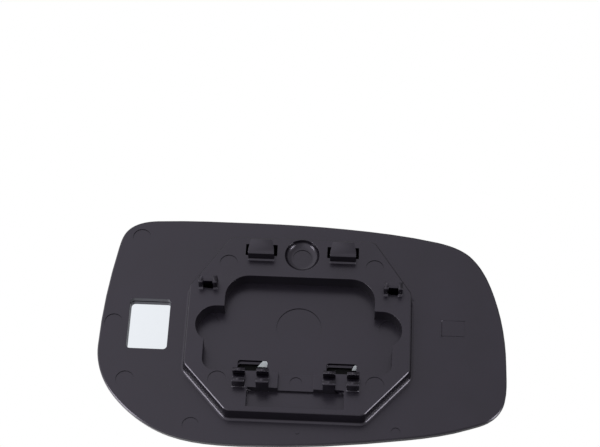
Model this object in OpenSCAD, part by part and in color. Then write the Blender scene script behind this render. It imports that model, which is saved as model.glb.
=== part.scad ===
// Left-hand mirror glass for a car door: the glass, its adhesive film and its moulded backing plate.
// It is drawn lying on its face, as seen from behind: X to the right, Y up the glass and Z out of
// the back, with Z = 0 on the back of the panel. in_car() then stands it up with the glass facing -Y.

/* [Outline] */
// Width of the mirror over its flange
outline_w = 168; // [150:0.5:190]
// Height of the mirror over its flange
outline_h = 102; // [94:0.5:116]

/* [Glass and film] */
// Thickness of the glass
glass_t = 2; // [1.6:0.1:3]
// Thickness of the adhesive film between the glass and the plate
film_t = 0.3; // [0.1:0.05:0.8]
// Gap between the edge of the glass and the lip round it
glass_gap = 0.2; // [0.1:0.05:0.5]
// How far the film stays back from the edge of the glass
film_inset = 1.5; // [0.5:0.5:4]
// How far the film stays back from the edge of the window
film_cut_back = 0.5; // [0.2:0.1:1.5]
// Width of the gap in the film at the right end of the left claw slot, as seen from behind
film_gap_left = 3.6; // [1:0.2:6]
// Width of the gap in the film at the right end of the right claw slot
film_gap_right = 1.2; // [0.6:0.2:6]

/* [Rim] */
// Thickness of the panel behind the glass
panel_t = 2.5; // [2:0.1:3.5]
// Thickness of the flange round the plate
flange_t = 1.9; // [1.4:0.1:2]
// How far the flange stands out beyond the lip
flange_w = 0.8; // [0.4:0.1:1.5]
// Chamfer along the back edge of the flange
flange_chamfer = 0.5; // [0.2:0.1:0.8]
// Thickness of the lip round the glass
lip_t = 1.5; // [1:0.1:2.5]
// How far the lip stands proud of the glass
lip_proud = 0.3; // [0:0.1:0.8]
// Chamfer along the front edge of the lip
lip_chamfer = 0.5; // [0.2:0.1:0.8]

/* [Boss] */
// Width of the eight-sided boss at its foot
boss_w = 92.8; // [88:0.2:98]
// Height of the eight-sided boss at its foot
boss_h = 80.4; // [80:0.2:84]
// How far the boss rises from the panel
boss_rise = 7; // [6:0.5:9]
// How far each side of the boss leans in over its rise
boss_draft = 0.5; // [0:0.1:1]
// Widths taken off the boss by its upper and lower corners
boss_cut_w = [16, 18.5]; // [10:0.5:22]
// Heights taken off the boss by its upper and lower corners
boss_cut_h = [24, 20.5]; // [14:0.5:26]
// Radius of each corner of the boss
boss_corner_r = 4; // [1:0.5:5]
// Chamfer along the top edge of the boss
boss_chamfer = 0.4; // [0.2:0.1:0.8]
// Size of the fillet along the foot of the boss
foot_fillet = 0.8; // [0.4:0.1:1.5]
// Wall thickness of the hollow boss and of its skin
wall = 2; // [1.5:0.1:2.4]

/* [Pocket] */
// Half the width of the pocket above its side lobes
pocket_upper = 31; // [28:0.5:33]
// Half the width of the pocket below its side lobes
pocket_lower = 38.5; // [36:0.5:40]
// Top edge of the pocket, above the boss centre
pocket_top = 21.4; // [18:0.2:23]
// Bottom edge of the pocket, below the boss centre
pocket_bottom = 22; // [20:0.5:23]
// Radius of the upper corners of the pocket
pocket_upper_r = 10; // [6:0.5:14]
// Radius of the lower corners of the pocket
pocket_lower_r = 5; // [3:0.5:8]
// Distance of each side lobe from the boss centre
lobe_out = 34; // [32:0.2:35]
// Distance of each side lobe below the boss centre
lobe_down = 1.5; // [0:0.1:4]
// Radius of each side lobe
lobe_r = 8.4; // [7:0.1:8.6]
// Radius of the round pad in the floor of the pocket
pad_r = 9.4; // [6:0.1:12]
// Height of the middle of the pad above the boss centre
pad_up = 1.1; // [-2:0.1:3]
// Depth of the round pad below the floor of the pocket
pad_depth = 0.4; // [0.2:0.1:0.8]

/* [Window] */
// Width of the window through the panel
window_w = 16.8; // [12:0.2:20]
// Height of the window through the panel
window_h = 23; // [16:0.1:30]
// Radius of the corners of the window
window_r = 1.6; // [0.5:0.1:4]
// How much nearer to the boss the window lies than midway to the left edge, as seen from behind
window_shift = 2; // [0:0.1:4]
// Height of the middle of the window above the boss centre
window_up = 0.9; // [-4:0.1:4]

/* [Upper hooks] */
// Distance of each upper hook from the boss centre
hook_out = 17.1; // [16:0.1:20]
// Width of each upper hook
hook_w = 10.8; // [8:0.2:12]
// Height of each upper hook above the boss
hook_rise = 5.3; // [4.5:0.1:7]
// Length of each upper hook
hook_l = 7; // [6:0.2:7.4]
// Front face of each upper hook, above the boss centre
hook_up = 29.3; // [28:0.1:29.6]
// Thickness of each upper hook
hook_t = 1.8; // [1.4:0.1:2.2]
// How much each side of an upper hook draws in towards its tip
hook_taper = 1; // [0:0.1:1.6]
// Width of the slot left at each side of an upper hook
hook_slot = 1.2; // [0.8:0.1:1.5]

/* [Side clips] */
// Distance of each side clip from the boss centre
clip_out = 38.3; // [37:0.1:39]
// Lower end of each side clip, above the boss centre
clip_up = 14.8; // [11:0.1:15]
// Length of the ribs of a side clip
clip_l = 3.8; // [3.4:0.1:5]
// Height of a side clip above the boss
clip_rise = 5.3; // [4.5:0.1:7]
// Thickness of the ribs of a side clip
clip_rib_t = 1.7; // [1.2:0.1:2]
// Gap between the ribs of a side clip
clip_gap = 4.2; // [3:0.1:4.6]
// Length of the square hole in front of the web of a side clip
clip_hole = 2; // [1.5:0.1:2.2]
// How far the nose of the web hangs over that hole
clip_nose = 0.8; // [0.4:0.1:1.2]

/* [Pin claws] */
// Distance of each pair of claws from the boss centre
claw_out = 18.2; // [17:0.1:20]
// Distance between the two claws of a pair, from middle to middle
claw_pitch = 9.6; // [8.5:0.1:10]
// Width of each claw
claw_w = 5; // [4:0.1:6]
// Axis of the pin, below the boss centre
pin_down = 26.2; // [25.6:0.1:27]
// Axis of the pin, above the top of the boss
pin_rise = 2.2; // [2:0.1:3]
// Radius of the seat that grips the pin
pin_r = 1.6; // [1.2:0.05:2]
// Width of the mouth that the pin snaps through
claw_mouth = 2.7; // [2.2:0.1:3]
// Thickness of the claw posts beside the pin
claw_post = 1.5; // [1.2:0.05:1.8]
// Height of the claws above the top of the boss
claw_rise = 5.4; // [5:0.1:7]
// Width of the bevel that leads the pin into the mouth
claw_lead = 0.4; // [0.2:0.05:0.6]

/* [Claw slots] */
// Width of the slot in the pocket floor behind each pair of claws
slot_w = 12.2; // [8:0.2:14]
// Height of the slot in the pocket floor behind each pair of claws
slot_h = 7.8; // [6:0.2:10]
// Radius of the corners of those slots
slot_r = 1; // [0.5:0.1:2]
// Width of the ledge along the upper edge of each slot
ledge_w = 1.2; // [0.6:0.1:2]
// Depth of that ledge below the floor of the pocket
ledge_depth = 1.2; // [0.6:0.1:1.8]

/* [Notch] */
// Width of the notch behind the claws
notch_w = 39.2; // [38:0.2:41]
// Upper edge of the notch, below the boss centre
notch_top = 29.2; // [29:0.1:29.6]
// Lower edge of the notch, below the boss centre
notch_bottom = 37.5; // [36:0.1:38]
// Depth of the notch below the top of the boss
notch_depth = 3.7; // [3:0.1:4]
// Width of the saddle between the inner claws
saddle_w = 14.4; // [10:0.2:16]
// Depth of the saddle below the top of the boss
saddle_depth = 2.4; // [1.5:0.1:2.8]

/* [Dimple] */
// Radius of the round dimple between the upper hooks
dimple_r = 7.2; // [6:0.1:7.4]
// Height of the dimple above the boss centre
dimple_up = 32; // [31:0.1:32]
// Depth of the dimple
dimple_depth = 2.8; // [2:0.1:4]
// Radius of the flat floor of the dimple, inside its bowl
dimple_floor_r = 4.3; // [3:0.1:4.8]

/* [Moulding marks] */
// Radius of the marks left by the ejector pins
mark_r = 3.8; // [2:0.1:4.5]
// Depth of the marks left by the ejector pins
mark_depth = 0.35; // [0.2:0.05:0.6]
// Width of the blank insert in the panel
insert_w = 9.8; // [6:0.2:14]
// Height of the blank insert in the panel
insert_h = 7.4; // [4:0.2:10]
// Width of the line round the blank insert
insert_line = 0.3; // [0.2:0.05:0.6]
// Depth of the line round the blank insert
insert_depth = 0.15; // [0.1:0.05:0.3]
// Radius of the stub that the moulding gate leaves
gate_r = 0.8; // [0.4:0.1:1.5]
// Height of the stub that the moulding gate leaves
gate_rise = 0.3; // [0.1:0.1:0.8]

/* [Hidden] */
$fn = 64;
// Overlap that lets one shape cut or join the next cleanly
e = 0.5;
// Thickness of the slabs that a hull is drawn between
slab = 0.01;

// Points on the outline as sketched, going round to the left, each with the direction of travel there
ANCHORS = [
    [-20, 50.8, 180], [-62.4, 50.1, 184], [-75, 45.2, 229], [-78.3, 36, 260], [-82.5, -10, 270],
    [-73.8, -32.1, 311], [-50.5, -48, 342], [-21, -51.3, 360], [45.5, -45.7, 368.5], [70.8, -39.9, 380],
    [79.6, -36, 398], [84.7, -28, 437], [85.5, -12, 450], [81, 19.3, 467], [71.8, 37.4, 493],
    [56.6, 44.7, 528], [18, 49.5, 536], [-20, 50.8, 540]
];
// Largest change of direction from one point of the outline to the next, and fewest steps of a curve
STEP_ANGLE = 3;
MIN_STEPS = 4;
// Change of direction from one point to the next round a rounded corner
CORNER_ANGLE = 9;

// Marks on the panel: place on the sketch, and share of the full radius
PANEL_MARKS = [[-68.9, 41.8, 1], [-77, 1, 1], [-69.9, -24.8, 1], [-41.6, -43.8, 0.9], [40.8, -43.3, 0.5]];
// Marks on top of the boss: distance to each side, and height above the boss centre
BOSS_MARKS = [[30.5, 27], [31.8, -26.4]];
// Places of the blank insert and of the gate stub on the sketch
INSERT_AT = [63.7, 3.8];
GATE_AT = [1.4, -45.1];

// Levels in front of the panel
film_z = -panel_t - film_t;
glass_z = film_z - glass_t;
lip_z = glass_z - lip_proud;
// Levels behind it, on the boss
skin_z = boss_rise - wall;
notch_z = boss_rise - notch_depth;
saddle_z = boss_rise - saddle_depth;
dimple_z = boss_rise - dimple_depth;

// Insets from the outline
lip_inset = flange_w;
seat_inset = flange_w + lip_t;
glass_inset = seat_inset + glass_gap;

// Half the depth of a claw, from the axis of the pin to the outside of a post
claw_half = pin_r + claw_post;
// Fillet at the foot of the hooks and clips, and bevel at their tips
post_fillet = 0.6;
tip_bevel = 0.4;
// Smallest radius left on a corner of the boss
least_r = 0.5;
// Steps of the curved wall of the dimple
BOWL_STEPS = 8;

function direction(angle) = [cos(angle), sin(angle)];
function unit(v) = v / norm(v);

// A curve from anchor a to anchor b that leaves and arrives in their directions, close to an arc
function curve_reach(a, b) =
    let (turn = b[2] - a[2], chord = norm([b[0] - a[0], b[1] - a[1]]))
    chord * 2 / 3 * tan(turn / 4) / sin(turn / 2);
function curve_point(a, b, t) =
    let (
        p = [a[0], a[1]],
        q = [b[0], b[1]],
        reach = curve_reach(a, b),
        r = p + reach * direction(a[2]),
        s = q - reach * direction(b[2])
    )
    pow(1 - t, 3) * p + 3 * pow(1 - t, 2) * t * r + 3 * (1 - t) * t * t * s + pow(t, 3) * q;
function curve_steps(a, b) = max(MIN_STEPS, ceil((b[2] - a[2]) / STEP_ANGLE));

SKETCH = [
    for (i = [0 : len(ANCHORS) - 2])
        let (a = ANCHORS[i], b = ANCHORS[i + 1], steps = curve_steps(a, b))
            for (k = [0 : steps - 1]) curve_point(a, b, k / steps)
];

// The sketch is stretched to the width and height asked for.
function extent(points, i) = let (v = [for (p = points) p[i]]) max(v) - min(v);
stretch_x = outline_w / extent(SKETCH, 0);
stretch_y = outline_h / extent(SKETCH, 1);
function stretched(p) = [p[0] * stretch_x, p[1] * stretch_y];
OUTLINE = [for (p = SKETCH) stretched(p)];

// The outline moved in by the same distance all round
function outline(inset) = [
    for (i = [0 : len(OUTLINE) - 1])
        let (
            n = len(OUTLINE),
            along = unit(OUTLINE[(i + 1) % n] - OUTLINE[(i + n - 1) % n])
        )
            OUTLINE[i] - inset * [along[1], -along[0]]
];

// Middle of the window, between the side of the boss and the left edge of the outline
window_x = (min([for (p = OUTLINE) p[0]]) - boss_w / 2) / 2 + window_shift;

// Corner p of a polygon, between its neighbours a and b, rounded to radius r
function rounded_corner(a, p, b, r) =
    let (
        u = unit(a - p),
        v = unit(b - p),
        half = acos(u * v) / 2,
        centre = p + unit(u + v) * r / sin(half),
        from = p + u * r / tan(half) - centre,
        side = sign(cross(p - a, b - p)),
        start = atan2(from[1], from[0]),
        sweep = side * (180 - 2 * half),
        steps = max(2, ceil(abs(sweep) / CORNER_ANGLE))
    )
    [for (k = [0 : steps]) centre + r * direction(start + sweep * k / steps)];
function rounded(points, r) = [
    for (i = [0 : len(points) - 1])
        let (n = len(points), a = points[(i + n - 1) % n], b = points[(i + 1) % n])
            each rounded_corner(a, points[i], b, r)
];
function box(w, h) = [[w, h], [-w, h], [-w, -h], [w, -h]] / 2;

// Width and height that a corner takes off the boss when its sides move in by an inset
function cut(w, h, inset) =
    let (share = inset * (w + h - norm([w, h])))
    [w - share / h, h - share / w];

// The eight sides of the boss, moved in by an inset
function octagon(inset) =
    let (
        x = boss_w / 2 - inset,
        y = boss_h / 2 - inset,
        upper = cut(boss_cut_w[0], boss_cut_h[0], inset),
        lower = cut(boss_cut_w[1], boss_cut_h[1], inset)
    )
    rounded([
        [x, y - upper[1]], [x - upper[0], y], [-x + upper[0], y], [-x, y - upper[1]],
        [-x, -y + lower[1]], [-x + lower[0], -y], [x - lower[0], -y], [x, -y + lower[1]]
    ], max(boss_corner_r - inset, least_r));

module both_sides() {
    children();
    mirror([1, 0, 0]) children();
}

module slab_at(z, points) translate([0, 0, z]) linear_extrude(slab) polygon(points);

module prism(z0, z1, points) translate([0, 0, z0]) linear_extrude(z1 - z0) polygon(points);

// A block between two corners
module block(low, high) translate(low) cube(high - low);

// An outline in Y and Z, drawn out along X and centred on x
module across(x, w) translate([x - w / 2, 0, 0]) rotate([90, 0, 90]) linear_extrude(w) children();

// The pocket seen from behind, with its edges moved out by a margin
module pocket_area(margin) {
    upper_h = pocket_top + pocket_bottom;
    translate([0, (pocket_top - pocket_bottom) / 2])
        polygon(rounded(box(2 * (pocket_upper + margin), upper_h + 2 * margin), pocket_upper_r + margin));
    lower_h = pocket_bottom - lobe_down;
    translate([0, -lobe_down - lower_h / 2])
        polygon(rounded(box(2 * (pocket_lower + margin), lower_h + 2 * margin), pocket_lower_r + margin));
    for (side = [-1, 1])
        translate([side * lobe_out, -lobe_down]) circle(r = lobe_r + margin);
    translate([-lobe_out, -lobe_down - margin]) square([2 * lobe_out, lobe_r + 2 * margin]);
}

module window_area(margin)
    translate([window_x, window_up])
        polygon(rounded(box(window_w + 2 * margin, window_h + 2 * margin), window_r + margin));

// The slots behind the claws, ending short of the pocket's side of them by a margin
module slot_area(margin)
    for (side = [-1, 1])
        translate([side * claw_out, -pocket_bottom + (slot_h - margin) / 2])
            polygon(rounded(box(slot_w, slot_h - margin), slot_r));

// The gaps in the film at the right ends of the claw slots
module film_gaps()
    for (gap = [[-claw_out, film_gap_left], [claw_out, film_gap_right]])
        translate([gap[0] + slot_w / 2, -pocket_bottom])
            polygon([[-gap[1], 0], [0, 0], [0, slot_h], [-gap[1] / 2, slot_h]]);

// The flange, with its back edge chamfered
module flange() {
    prism(-flange_t, -flange_chamfer, outline(0));
    hull() {
        slab_at(-flange_chamfer - slab, outline(0));
        slab_at(-slab, outline(flange_chamfer));
    }
}

// The block that the lip and the seat of the glass are cut from, with its front edge chamfered
module lip_block() {
    prism(lip_z + lip_chamfer, -flange_t / 2, outline(lip_inset));
    hull() {
        slab_at(lip_z + lip_chamfer, outline(lip_inset));
        slab_at(lip_z, outline(lip_inset + lip_chamfer));
    }
}

module boss_block() {
    hull() {
        slab_at(-e, octagon(0));
        slab_at(0, octagon(0));
        slab_at(boss_rise - boss_chamfer - slab, octagon(boss_draft));
        slab_at(boss_rise - slab, octagon(boss_draft + boss_chamfer));
    }
    hull() {
        slab_at(-e, octagon(-foot_fillet));
        slab_at(0, octagon(-foot_fillet));
        slab_at(foot_fillet - slab, octagon(0));
    }
}

// The hollow under the skin of the boss, open towards the glass
module boss_hollow() difference() {
    prism(-panel_t - e, skin_z, octagon(boss_draft + wall));
    translate([0, 0, -panel_t - 2 * e]) linear_extrude(panel_t + boss_rise) pocket_area(wall);
    block(
        [-notch_w / 2 - wall, -notch_bottom - wall, notch_z - wall],
        [notch_w / 2 + wall, -notch_top + wall, boss_rise]
    );
    block(
        [-saddle_w / 2 - wall, -notch_top - e, saddle_z - wall],
        [saddle_w / 2 + wall, -pocket_bottom, boss_rise]
    );
    translate([0, dimple_up, dimple_z - wall]) cylinder(r = dimple_r + wall, h = boss_rise);
}

// The dimple between the upper hooks: a bowl with a flat disc sunk into its floor
module dimple() translate([0, dimple_up, boss_rise]) {
    bowl_w = dimple_r - dimple_floor_r;
    rotate_extrude() polygon([
        [0, e], [0, -dimple_depth],
        for (k = [0 : BOWL_STEPS])
            let (angle = 90 * k / BOWL_STEPS)
                [dimple_floor_r + bowl_w * sin(angle), -dimple_depth * cos(angle)],
        [dimple_r, e]
    ]);
    translate([0, 0, -dimple_depth - mark_depth]) cylinder(r = dimple_floor_r - mark_depth, h = dimple_depth);
}

// One upper hook: an upright with a tongue that leads away from the pocket and draws in to its tip
module hook() {
    root = hook_w / 2;
    tip = root - hook_taper;
    intersection() {
        across(hook_out, hook_w) translate([hook_up, boss_rise]) polygon([
            [-post_fillet, -e], [-post_fillet, 0], [0, post_fillet], [0, hook_rise - post_fillet],
            [post_fillet, hook_rise], [hook_l - tip_bevel, hook_rise], [hook_l, hook_rise - tip_bevel],
            [hook_l, hook_rise - hook_t], [hook_t + post_fillet, hook_rise - hook_t],
            [hook_t, hook_rise - hook_t - post_fillet], [hook_t, -e]
        ]);
        translate([hook_out, hook_up]) linear_extrude(boss_rise + hook_rise + e) polygon([
            [-root, -post_fillet - e], [root, -post_fillet - e], [root, hook_t],
            [tip, hook_l], [-tip, hook_l], [-root, hook_t]
        ]);
    }
}

// The opening in the skin under one upper hook
module hook_hole() block(
    [hook_out - hook_w / 2 - hook_slot, hook_up + hook_t, skin_z - e],
    [hook_out + hook_w / 2 + hook_slot, hook_up + hook_l, boss_rise + e]
);

// One side clip: two ribs joined by a web with a nose
module side_clip() translate([clip_out, clip_up, boss_rise]) {
    nose_z = clip_rise - 2 * clip_nose;
    web_l = clip_l - tip_bevel;
    for (side = [-1, 1])
        across(side * (clip_gap + clip_rib_t) / 2, clip_rib_t) polygon([
            [-post_fillet, -e], [-post_fillet, 0], [0, post_fillet], [0, clip_rise - tip_bevel],
            [tip_bevel, clip_rise], [clip_l - 2 * tip_bevel, clip_rise],
            [clip_l, clip_rise - 3 * tip_bevel], [clip_l, -e]
        ]);
    across(0, clip_gap + clip_rib_t) polygon([
        [clip_hole, -e], [clip_hole, nose_z - clip_nose], [clip_hole - clip_nose, nose_z],
        [clip_hole - clip_nose, nose_z + tip_bevel], [clip_hole, clip_rise - tip_bevel],
        [web_l, clip_rise - tip_bevel], [web_l, -e]
    ]);
}

// The square hole through the skin in front of the web of one side clip
module clip_hole_cut() block(
    [clip_out - clip_gap / 2, clip_up, skin_z - e],
    [clip_out + clip_gap / 2, clip_up + clip_hole, boss_rise + e]
);

// The side view of a claw: two posts with a seat for the pin between them
module claw_profile(foot) translate([-pin_down, boss_rise]) difference() {
    polygon([
        [-claw_half, foot - boss_rise], [-claw_half, claw_rise - claw_lead],
        [-claw_half + claw_lead, claw_rise], [claw_half - claw_lead, claw_rise],
        [claw_half, claw_rise - claw_lead], [claw_half, foot - boss_rise]
    ]);
    translate([0, pin_rise]) circle(r = pin_r);
    translate([-claw_mouth / 2, pin_rise]) square([claw_mouth, claw_rise]);
    polygon([
        [-claw_mouth / 2, claw_rise - 2 * claw_lead], [claw_mouth / 2, claw_rise - 2 * claw_lead],
        [claw_mouth / 2 + claw_lead, claw_rise + e], [-claw_mouth / 2 - claw_lead, claw_rise + e]
    ]);
}

module claw_pair() {
    across(claw_out + claw_pitch / 2, claw_w) claw_profile(skin_z);
    across(claw_out - claw_pitch / 2, claw_w) claw_profile(notch_z - e);
}

module notch_cut() block(
    [-notch_w / 2, -notch_bottom, notch_z],
    [notch_w / 2, -notch_top, boss_rise + e]
);

module saddle_cut() block(
    [-saddle_w / 2, -notch_top - e, saddle_z],
    [saddle_w / 2, -pocket_bottom + e, boss_rise + e]
);

// A shallow round mark of radius r at the place p, sunk into the surface at z
module mark(p, z, r = mark_r) translate([p[0], p[1], z - mark_depth]) cylinder(r = r, h = mark_depth + e);

module panel_marks() {
    for (m = PANEL_MARKS)
        mark(stretched(m), 0, mark_r * m[2]);
    for (side = [-1, 1])
        mark([side * (lobe_out + lobe_r - 1.5 * mark_r), mark_r - lobe_down], 0);
}

module boss_marks() {
    for (side = [-1, 1], m = BOSS_MARKS)
        mark([side * m[0], m[1]], boss_rise);
    mark([0, -(pocket_bottom + notch_top) / 2], saddle_z, mark_r * 2 / 3);
}

// The line round the blank insert
module insert_mark() translate([0, 0, -insert_depth]) linear_extrude(insert_depth + e)
    translate(stretched(INSERT_AT)) difference() {
        square([insert_w, insert_h], center = true);
        square([insert_w - 2 * insert_line, insert_h - 2 * insert_line], center = true);
    }

module gate_stub() translate([0, 0, -e]) linear_extrude(gate_rise + e)
    translate(stretched(GATE_AT)) circle(r = gate_r);

module backing_plate() color([0.11, 0.11, 0.12]) in_car() difference() {
    union() {
        difference() {
            union() {
                flange();
                lip_block();
                boss_block();
                gate_stub();
            }
            prism(lip_z - e, -panel_t, outline(seat_inset));
            boss_hollow();
            linear_extrude(boss_rise + e) pocket_area(0);
            notch_cut();
            saddle_cut();
            dimple();
            boss_marks();
            both_sides() hook_hole();
            both_sides() clip_hole_cut();
        }
        both_sides() hook();
        both_sides() side_clip();
        both_sides() claw_pair();
    }
    translate([0, 0, -panel_t - e]) linear_extrude(panel_t + 2 * e) window_area(0);
    translate([0, 0, -panel_t - e]) linear_extrude(panel_t + 2 * e) slot_area(ledge_w);
    translate([0, 0, -ledge_depth]) linear_extrude(ledge_depth + e) slot_area(0);
    translate([0, pad_up, -pad_depth]) cylinder(r = pad_r, h = pad_depth + e);
    panel_marks();
    insert_mark();
}

module adhesive_film() color([0.2, 0.2, 0.2]) in_car()
    translate([0, 0, film_z]) linear_extrude(film_t) difference() {
        polygon(outline(glass_inset + film_inset));
        window_area(film_cut_back);
        film_gaps();
    }

module mirror_glass() color([0.92, 0.93, 0.95]) in_car() prism(glass_z, film_z, outline(glass_inset));

// Stands the mirror up as it sits in the car, with the middle of the pad at the origin
module in_car() rotate([90, 0, 180]) translate([0, -pad_up, pad_depth]) children();

mirror_glass();
adhesive_film();
backing_plate();
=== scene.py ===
"""A door mirror glass seen from behind, bonded to its black backing plate, under soft studio light."""

import math

import bmesh
import bpy
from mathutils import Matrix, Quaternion, Vector


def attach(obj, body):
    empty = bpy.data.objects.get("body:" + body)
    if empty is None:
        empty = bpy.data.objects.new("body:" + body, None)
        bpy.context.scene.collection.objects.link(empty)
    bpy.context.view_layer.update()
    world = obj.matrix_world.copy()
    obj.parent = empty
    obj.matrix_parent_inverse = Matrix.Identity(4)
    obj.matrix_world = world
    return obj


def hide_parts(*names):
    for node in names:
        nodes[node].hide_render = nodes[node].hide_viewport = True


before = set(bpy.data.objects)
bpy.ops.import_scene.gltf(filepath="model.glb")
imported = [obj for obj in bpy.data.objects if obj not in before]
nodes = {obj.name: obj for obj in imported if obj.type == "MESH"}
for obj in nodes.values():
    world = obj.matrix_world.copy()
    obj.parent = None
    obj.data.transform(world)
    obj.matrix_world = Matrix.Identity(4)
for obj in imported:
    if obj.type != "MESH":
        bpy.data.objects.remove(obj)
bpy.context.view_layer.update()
MM = 0.001


def new_object(name, data):
    """An object with this data, put in the scene."""
    made = bpy.data.objects.new(name, data)
    bpy.context.scene.collection.objects.link(made)
    return made


# Camera: below and behind the plate, looking up at its back
CAMERA_PLACE = Vector((-0.0190, 0.6415, -0.3161))
CAMERA_AIM = Vector((0.0019, 0.0, 0.0503))
CAMERA_ROLL = math.radians(3.05)
LENS = 103.55


def add_camera():
    data = bpy.data.cameras.new("camera")
    data.lens = LENS
    camera = new_object("camera", data)
    camera.rotation_mode = "QUATERNION"
    camera.location = CAMERA_PLACE
    level = (CAMERA_AIM - CAMERA_PLACE).to_track_quat("-Z", "Y")
    camera.rotation_quaternion = level @ Quaternion((0, 0, 1), CAMERA_ROLL)
    bpy.context.scene.camera = camera


# Node trees
def new_tree(owner):
    """Empties a material's or a world's node tree and returns it."""
    owner.use_nodes = True
    owner.node_tree.nodes.clear()
    return owner.node_tree


def add_node(tree, kind, inputs=None, **settings):
    """Adds a node with its settings and the values of its inputs."""
    node = tree.nodes.new(kind)
    for name, value in settings.items():
        setattr(node, name, value)
    for name, value in (inputs or {}).items():
        node.inputs[name].default_value = value
    return node


def combine(tree, operation, first, second):
    """The result of a maths node on two sockets."""
    node = add_node(tree, "ShaderNodeMath", operation=operation)
    tree.links.new(first, node.inputs[0])
    tree.links.new(second, node.inputs[1])
    return node.outputs["Value"]


def spread(tree, source, low, high, at_low, at_high, kind="LINEAR"):
    """Changes from at_low to at_high while the source goes from low to high."""
    ends = {"From Min": low, "From Max": high, "To Min": at_low, "To Max": at_high}
    node = add_node(tree, "ShaderNodeMapRange", ends, interpolation_type=kind)
    tree.links.new(source, node.inputs["Value"])
    return node.outputs["Result"]


def blend(tree, source, colours, low=0, high=1):
    """The first colour where the source is low, turning into the second where it is high."""
    node = add_node(tree, "ShaderNodeValToRGB")
    for stop, position, colour in zip(node.color_ramp.elements, (low, high), colours):
        stop.position = position
        stop.color = (*colour, 1)
    tree.links.new(source, node.inputs["Fac"])
    return node.outputs["Color"]


def noise(tree, scale, detail=2):
    """Noise over the object's own coordinates, with so many cells to the metre."""
    place = add_node(tree, "ShaderNodeTexCoord")
    node = add_node(tree, "ShaderNodeTexNoise", {"Scale": scale, "Detail": detail})
    tree.links.new(place.outputs["Object"], node.inputs["Vector"])
    return node.outputs["Fac"]


# Studio: a pale floor, a white sky that is darker over the front, and a softbox low at each side
FLOOR_Z = -0.5
FLOOR_SIZE = 30.0
FLOOR_COLOUR = (0.9, 0.9, 0.9, 1)
# Strength of the sky by direction: from, to, strength at the first, strength at the second
SKY_ACROSS = (-0.3, 0.3, 0.56, 1.18)
SKY_LOW = (-0.5, -0.1, 0.5, 1.0)
SKY_TOP = (0.5, 0.85, 1.0, 0.25)
SKY_BEHIND = (-0.1, 0.4, 0.0, 1.0)
# Strength of the sky as the camera sees it
SKY_SEEN = 1.0
# Direction of the softbox towards +X; the other one is its mirror image
SOFTBOX_WAY = (0.86, 0.32, -0.4)
SOFTBOX_DISTANCE = 1.2
SOFTBOX_WIDTH = 0.6
SOFTBOX_HEIGHT = 0.5
SOFTBOX_POWER = 10


def add_floor():
    bpy.ops.mesh.primitive_plane_add(size=FLOOR_SIZE, location=(0, 0, FLOOR_Z))
    floor = bpy.context.object
    floor.name = "floor"
    material = bpy.data.materials.new("floor_paint")
    tree = new_tree(material)
    shader = add_node(tree, "ShaderNodeBsdfDiffuse", {"Color": FLOOR_COLOUR})
    output = add_node(tree, "ShaderNodeOutputMaterial")
    tree.links.new(shader.outputs["BSDF"], output.inputs["Surface"])
    floor.data.materials.append(material)
    floor.visible_diffuse = False
    floor.visible_glossy = False


def add_sky():
    """White to the camera. Its light on the part fades high and low over the front, and towards -X."""
    world = bpy.data.worlds.new("sky")
    bpy.context.scene.world = world
    tree = new_tree(world)
    place = add_node(tree, "ShaderNodeTexCoord")
    split = add_node(tree, "ShaderNodeSeparateXYZ")
    tree.links.new(place.outputs["Generated"], split.inputs["Vector"])
    across, out, up = (split.outputs[axis] for axis in "XYZ")
    sideways = spread(tree, across, *SKY_ACROSS, "SMOOTHSTEP")
    low = spread(tree, up, *SKY_LOW, "SMOOTHSTEP")
    top = spread(tree, up, *SKY_TOP, "SMOOTHSTEP")
    behind = spread(tree, out, *SKY_BEHIND, "SMOOTHSTEP")
    front = combine(tree, "MULTIPLY", low, top)
    light = combine(tree, "MULTIPLY", sideways, combine(tree, "MAXIMUM", front, behind))
    ray = add_node(tree, "ShaderNodeLightPath")
    strength = add_node(tree, "ShaderNodeMix", {"B": SKY_SEEN}, data_type="FLOAT")
    tree.links.new(ray.outputs["Is Camera Ray"], strength.inputs["Factor"])
    tree.links.new(light, strength.inputs["A"])
    background = add_node(tree, "ShaderNodeBackground", {"Color": (1, 1, 1, 1)})
    tree.links.new(strength.outputs["Result"], background.inputs["Strength"])
    output = add_node(tree, "ShaderNodeOutputWorld")
    tree.links.new(background.outputs["Background"], output.inputs["Surface"])


def add_softbox(name, side):
    """A softbox that faces the part: side is 1 for the one towards +X and -1 for the other."""
    data = bpy.data.lights.new(name, "AREA")
    data.shape = "RECTANGLE"
    data.size = SOFTBOX_WIDTH
    data.size_y = SOFTBOX_HEIGHT
    data.energy = SOFTBOX_POWER
    box = new_object(name, data)
    across, out, up = SOFTBOX_WAY
    way = Vector((side * across, out, up)).normalized()
    box.location = way * SOFTBOX_DISTANCE
    box.rotation_mode = "QUATERNION"
    box.rotation_quaternion = (-way).to_track_quat("-Z", "Y")
    box.visible_camera = False
    box.visible_diffuse = False


def add_studio():
    add_floor()
    add_sky()
    add_softbox("softbox_left", 1)
    add_softbox("softbox_right", -1)
    bpy.context.scene.view_settings.view_transform = "Standard"


# Materials: pairs of values are the two ends that a noise moves between
PLASTIC_IOR = 1.6
PLASTIC_TINT = (0.9, 0.85, 1, 1)
PLASTIC_COLOURS = ((0.005, 0.003, 0.0075), (0.008, 0.0056, 0.0125))
PLASTIC_ROUGHNESS = (0.27, 0.33)
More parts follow.
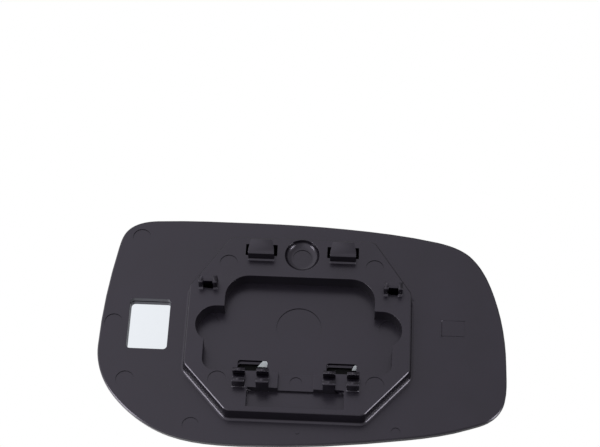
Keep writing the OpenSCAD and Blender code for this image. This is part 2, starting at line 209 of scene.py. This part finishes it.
# The stretch of the cloudy noise that these two change over
PLASTIC_CLOUD = (0.3, 0.7)
GRAIN_STRENGTH = 0.01
GRAIN_DEPTH = 0.02 * MM
MIRROR_COLOURS = ((0.77, 0.8, 0.84), (0.81, 0.84, 0.88))
MIRROR_ROUGHNESS = (0.015, 0.045)
FILM_COLOURS = ((0.0015, 0.0015, 0.002), (0.003, 0.003, 0.0035))
FILM_ROUGHNESS = 0.7
FILM_GLOSS = 0.15
# White of the slot tabs: a painted highlight standing for the glint at the slots' right ends
GLINT_TAB_COLOURS = ((0.78, 0.84, 0.9), (0.9, 0.94, 0.97))
GLINT_TAB_ROUGHNESS = 0.35


def new_material(name, inputs):
    """A material with one shader. Returns the material, its tree and the shader's inputs."""
    material = bpy.data.materials.new(name)
    tree = new_tree(material)
    shader = add_node(tree, "ShaderNodeBsdfPrincipled", inputs)
    output = add_node(tree, "ShaderNodeOutputMaterial")
    tree.links.new(shader.outputs["BSDF"], output.inputs["Surface"])
    return material, tree, shader.inputs


def plastic(name):
    """Black moulded plastic: a satin face with a fine grain and faint cloudiness."""
    material, tree, shader = new_material(name, {"IOR": PLASTIC_IOR, "Specular Tint": PLASTIC_TINT})
    cloud = noise(tree, scale=45, detail=5)
    tree.links.new(blend(tree, cloud, PLASTIC_COLOURS, *PLASTIC_CLOUD), shader["Base Color"])
    tree.links.new(spread(tree, cloud, *PLASTIC_CLOUD, *PLASTIC_ROUGHNESS), shader["Roughness"])
    bump = add_node(tree, "ShaderNodeBump", {"Strength": GRAIN_STRENGTH, "Distance": GRAIN_DEPTH})
    tree.links.new(noise(tree, scale=1500), bump.inputs["Height"])
    tree.links.new(bump.outputs["Normal"], shader["Normal"])
    return material


def mirror(name):
    """A silvered glass: almost a perfect mirror, with the faintest unevenness in its polish."""
    material, tree, shader = new_material(name, {"Metallic": 1})
    haze = noise(tree, scale=30, detail=3)
    tree.links.new(blend(tree, haze, MIRROR_COLOURS), shader["Base Color"])
    tree.links.new(spread(tree, haze, 0, 1, *MIRROR_ROUGHNESS), shader["Roughness"])
    return material


def film(name):
    """Black adhesive film, duller than the plate."""
    material, tree, shader = new_material(
        name, {"Roughness": FILM_ROUGHNESS, "Specular IOR Level": FILM_GLOSS}
    )
    tree.links.new(blend(tree, noise(tree, scale=900), FILM_COLOURS), shader["Base Color"])
    return material


def glint_paint(name):
    """White for the slot tabs, a painted highlight: a little glossy, with a faint noise in its white."""
    material, tree, shader = new_material(name, {"Roughness": GLINT_TAB_ROUGHNESS})
    tree.links.new(blend(tree, noise(tree, scale=700), GLINT_TAB_COLOURS), shader["Base Color"])
    return material


# Rounded edges on the moulding
WELD = 0.0001 * MM
# The steps between the solid's slabs are shorter than this
STEP = 0.015 * MM
# Where the middle of the panel and its back lie along Y
MIDDLE_Y = -1.1 * MM
PANEL_Y = 0.4 * MM
# Faces that meet at less than this are one flat face
FLAT = math.radians(0.4)
# An edge is rounded where its faces meet at more than SHARP, and an edge within IN_LINE carries it on
SHARP = math.radians(25)
IN_LINE = math.radians(30)
# An edge with less room than this stays sharp, and a rounding takes up this share of its room at most
LEAST_ROOM = 0.42 * MM
SHARE_OF_ROOM = 0.42
# The room where nothing limits it
AMPLE_ROOM = 1.0
LARGEST_RADIUS = 1.1 * MM
OUTER_RADIUS = 0.1 * MM
INNER_RADIUS = 0.2 * MM
FOOT_RADIUS = 1.1 * MM
# Where the dimple's middle lies along Z, how far out its rim reaches, and the radius of the rim's edge
DIMPLE_UP = 30.9 * MM
DIMPLE_REACH = 7.5 * MM
DIMPLE_RADIUS = 0.8 * MM
ROUNDING_SEGMENTS = 3
EVENING_WEIGHT = 100


def close_steps(bm):
    """Closes the steps of 0.01 mm that the solid's slabs leave, on the side that faces out."""
    targets = {}
    for edge in bm.edges:
        if edge.calc_length() < STEP:
            inner, outer = sorted(edge.verts, key=lambda v: abs(v.co.y - MIDDLE_Y))
            if outer not in targets:
                targets[inner] = outer
    bmesh.ops.weld_verts(bm, targetmap=targets)


def room_beside(edge, vert):
    """The length of the edges that leave a vertex beside this edge, which its rounding has to fit on."""
    along = (edge.other_vert(vert).co - vert.co).normalized()
    room = []
    for other in vert.link_edges:
        if other is edge or not set(other.link_faces) & set(edge.link_faces):
            continue
        away = (other.other_vert(vert).co - vert.co).normalized()
        angle = along.angle(away, 0)
        if min(angle, math.pi - angle) > IN_LINE:
            room.append(other.calc_length() * math.sin(angle))
    return min(room, default=AMPLE_ROOM)


def room_across(edge, face):
    """The distance from the middle of an edge straight across its face to the next edge."""
    start = (edge.verts[0].co + edge.verts[1].co) / 2
    along = (edge.verts[1].co - edge.verts[0].co).normalized()
    inward = face.normal.cross(along)
    for loop in edge.link_loops:
        if loop.face is face and loop.vert is edge.verts[1]:
            inward = -inward
    nearest = AMPLE_ROOM
    for other in face.edges:
        if other is edge:
            continue
        a, b = (((v.co - start).dot(along), (v.co - start).dot(inward)) for v in other.verts)
        if (a[0] > 0) != (b[0] > 0):
            reach = a[1] + (b[1] - a[1]) * a[0] / (a[0] - b[0])
            if reach > 0:
                nearest = min(nearest, reach)
    return nearest


def radius_of(edge):
    """The radius that an edge is rounded to, if it has room: most at the foot of the boss."""
    middle = (edge.verts[0].co + edge.verts[1].co) / 2
    if edge.is_convex:
        in_dimple = math.hypot(middle.x, middle.z - DIMPLE_UP) < DIMPLE_REACH
        return DIMPLE_RADIUS if in_dimple and middle.y > PANEL_Y else OUTER_RADIUS
    wall = min(edge.link_faces, key=lambda face: abs(face.normal.y))
    if middle.y > PANEL_Y + STEP:
        return INNER_RADIUS
    return FOOT_RADIUS if wall.normal.x * middle.x + wall.normal.z * middle.z > 0 else 0


def weigh_edges(bm):
    """Gives each sharp edge the weight of its rounding. Edges with too little room stay sharp."""
    weights = bm.edges.layers.float.new("bevel_weight_edge")
    for edge in bm.edges:
        if len(edge.link_faces) == 2 and edge.calc_face_angle(0) > SHARP:
            beside = min(room_beside(edge, vert) for vert in edge.verts)
            room = min(beside, *(room_across(edge, face) for face in edge.link_faces))
            radius = min(radius_of(edge), SHARE_OF_ROOM * room) if room > LEAST_ROOM else 0
            edge[weights] = radius / LARGEST_RADIUS
            edge.smooth = radius > 0


def refined(node, name):
    """A copy of a solid whose sharp edges are rounded, each as far as its faces have room."""
    mesh = bpy.data.meshes.new(name)
    bm = bmesh.new()
    bm.from_mesh(nodes[node].data)
    bmesh.ops.remove_doubles(bm, verts=bm.verts, dist=WELD)
    close_steps(bm)
    bmesh.ops.dissolve_degenerate(bm, edges=bm.edges, dist=WELD)
    bmesh.ops.dissolve_limit(
        bm, angle_limit=FLAT, verts=bm.verts, edges=bm.edges, use_dissolve_boundaries=False
    )
    weigh_edges(bm)
    for face in bm.faces:
        face.smooth = True
    bm.to_mesh(mesh)
    bm.free()
    piece = new_object(name, mesh)
    rounding = piece.modifiers.new("rounding", "BEVEL")
    rounding.limit_method = "WEIGHT"
    rounding.width = LARGEST_RADIUS
    rounding.segments = ROUNDING_SEGMENTS
    rounding.use_clamp_overlap = False
    rounding.harden_normals = False
    evening = piece.modifiers.new("evening", "WEIGHTED_NORMAL")
    evening.weight = EVENING_WEIGHT
    evening.keep_sharp = True
    return piece


# Pale tabs at the right ends of the claw slots: white pieces that stand for the glint there, a painted
# highlight. Their numbers are in mm
TAB_THICKNESS = 0.12
# How much deeper the lower edge of a tab lies than its upper edge
TAB_DROP = 1.5
# How far a corner moves up the glass for each mm that it is sunk
TAB_SHIFT = 0.49
# Corners: across, out and up
LEFT_TAB = ((16.2, 0.35, -18.1), (12.05, 0.35, -18.1), (12.05, 0.35, -15.4), (14.1, 0.35, -15.4))
RIGHT_TAB = ((-22.4, 0.35, -18.0), (-24.35, 0.35, -18.0), (-24.35, 0.35, -15.8), (-23.3, 0.35, -15.8))


def glint_tab(name, corners, material):
    """A thin white tab that leans in its slot against the slot's right end: a painted highlight there.
    """
    mesh = bpy.data.meshes.new(name)
    bm = bmesh.new()
    foot, head = corners[0][2], corners[2][2]
    rows = []
    for depth in (0, TAB_THICKNESS):
        row = []
        for x, y, z in corners:
            sunk = TAB_DROP * (head - z) / (head - foot)
            row.append(bm.verts.new(Vector((x, y - sunk - depth, z + TAB_SHIFT * sunk)) * MM))
        rows.append(row)
    front, back = rows
    bm.faces.new(front)
    bm.faces.new(reversed(back))
    for i in range(len(corners)):
        k = (i + 1) % len(corners)
        bm.faces.new((front[k], front[i], back[i], back[k]))
    bmesh.ops.recalc_face_normals(bm, faces=bm.faces)
    bm.to_mesh(mesh)
    bm.free()
    piece = new_object(name, mesh)
    piece.data.materials.append(material)
    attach(piece, "root")


def build():
    plate = refined("backing_plate", "moulded_plate")
    plate.data.materials.append(plastic("moulded_plastic"))
    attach(plate, "root")
    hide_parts("backing_plate")
    nodes["mirror_glass"].data.materials[0] = mirror("silvered_glass")
    nodes["adhesive_film"].data.materials[0] = film("film")
    # White tabs in the claw slots: a painted highlight at their right ends
    white = glint_paint("painted_glint")
    glint_tab("glint_tab_left", LEFT_TAB, white)
    glint_tab("glint_tab_right", RIGHT_TAB, white)


add_camera()
add_studio()
build()

bpy.context.view_layer.update()
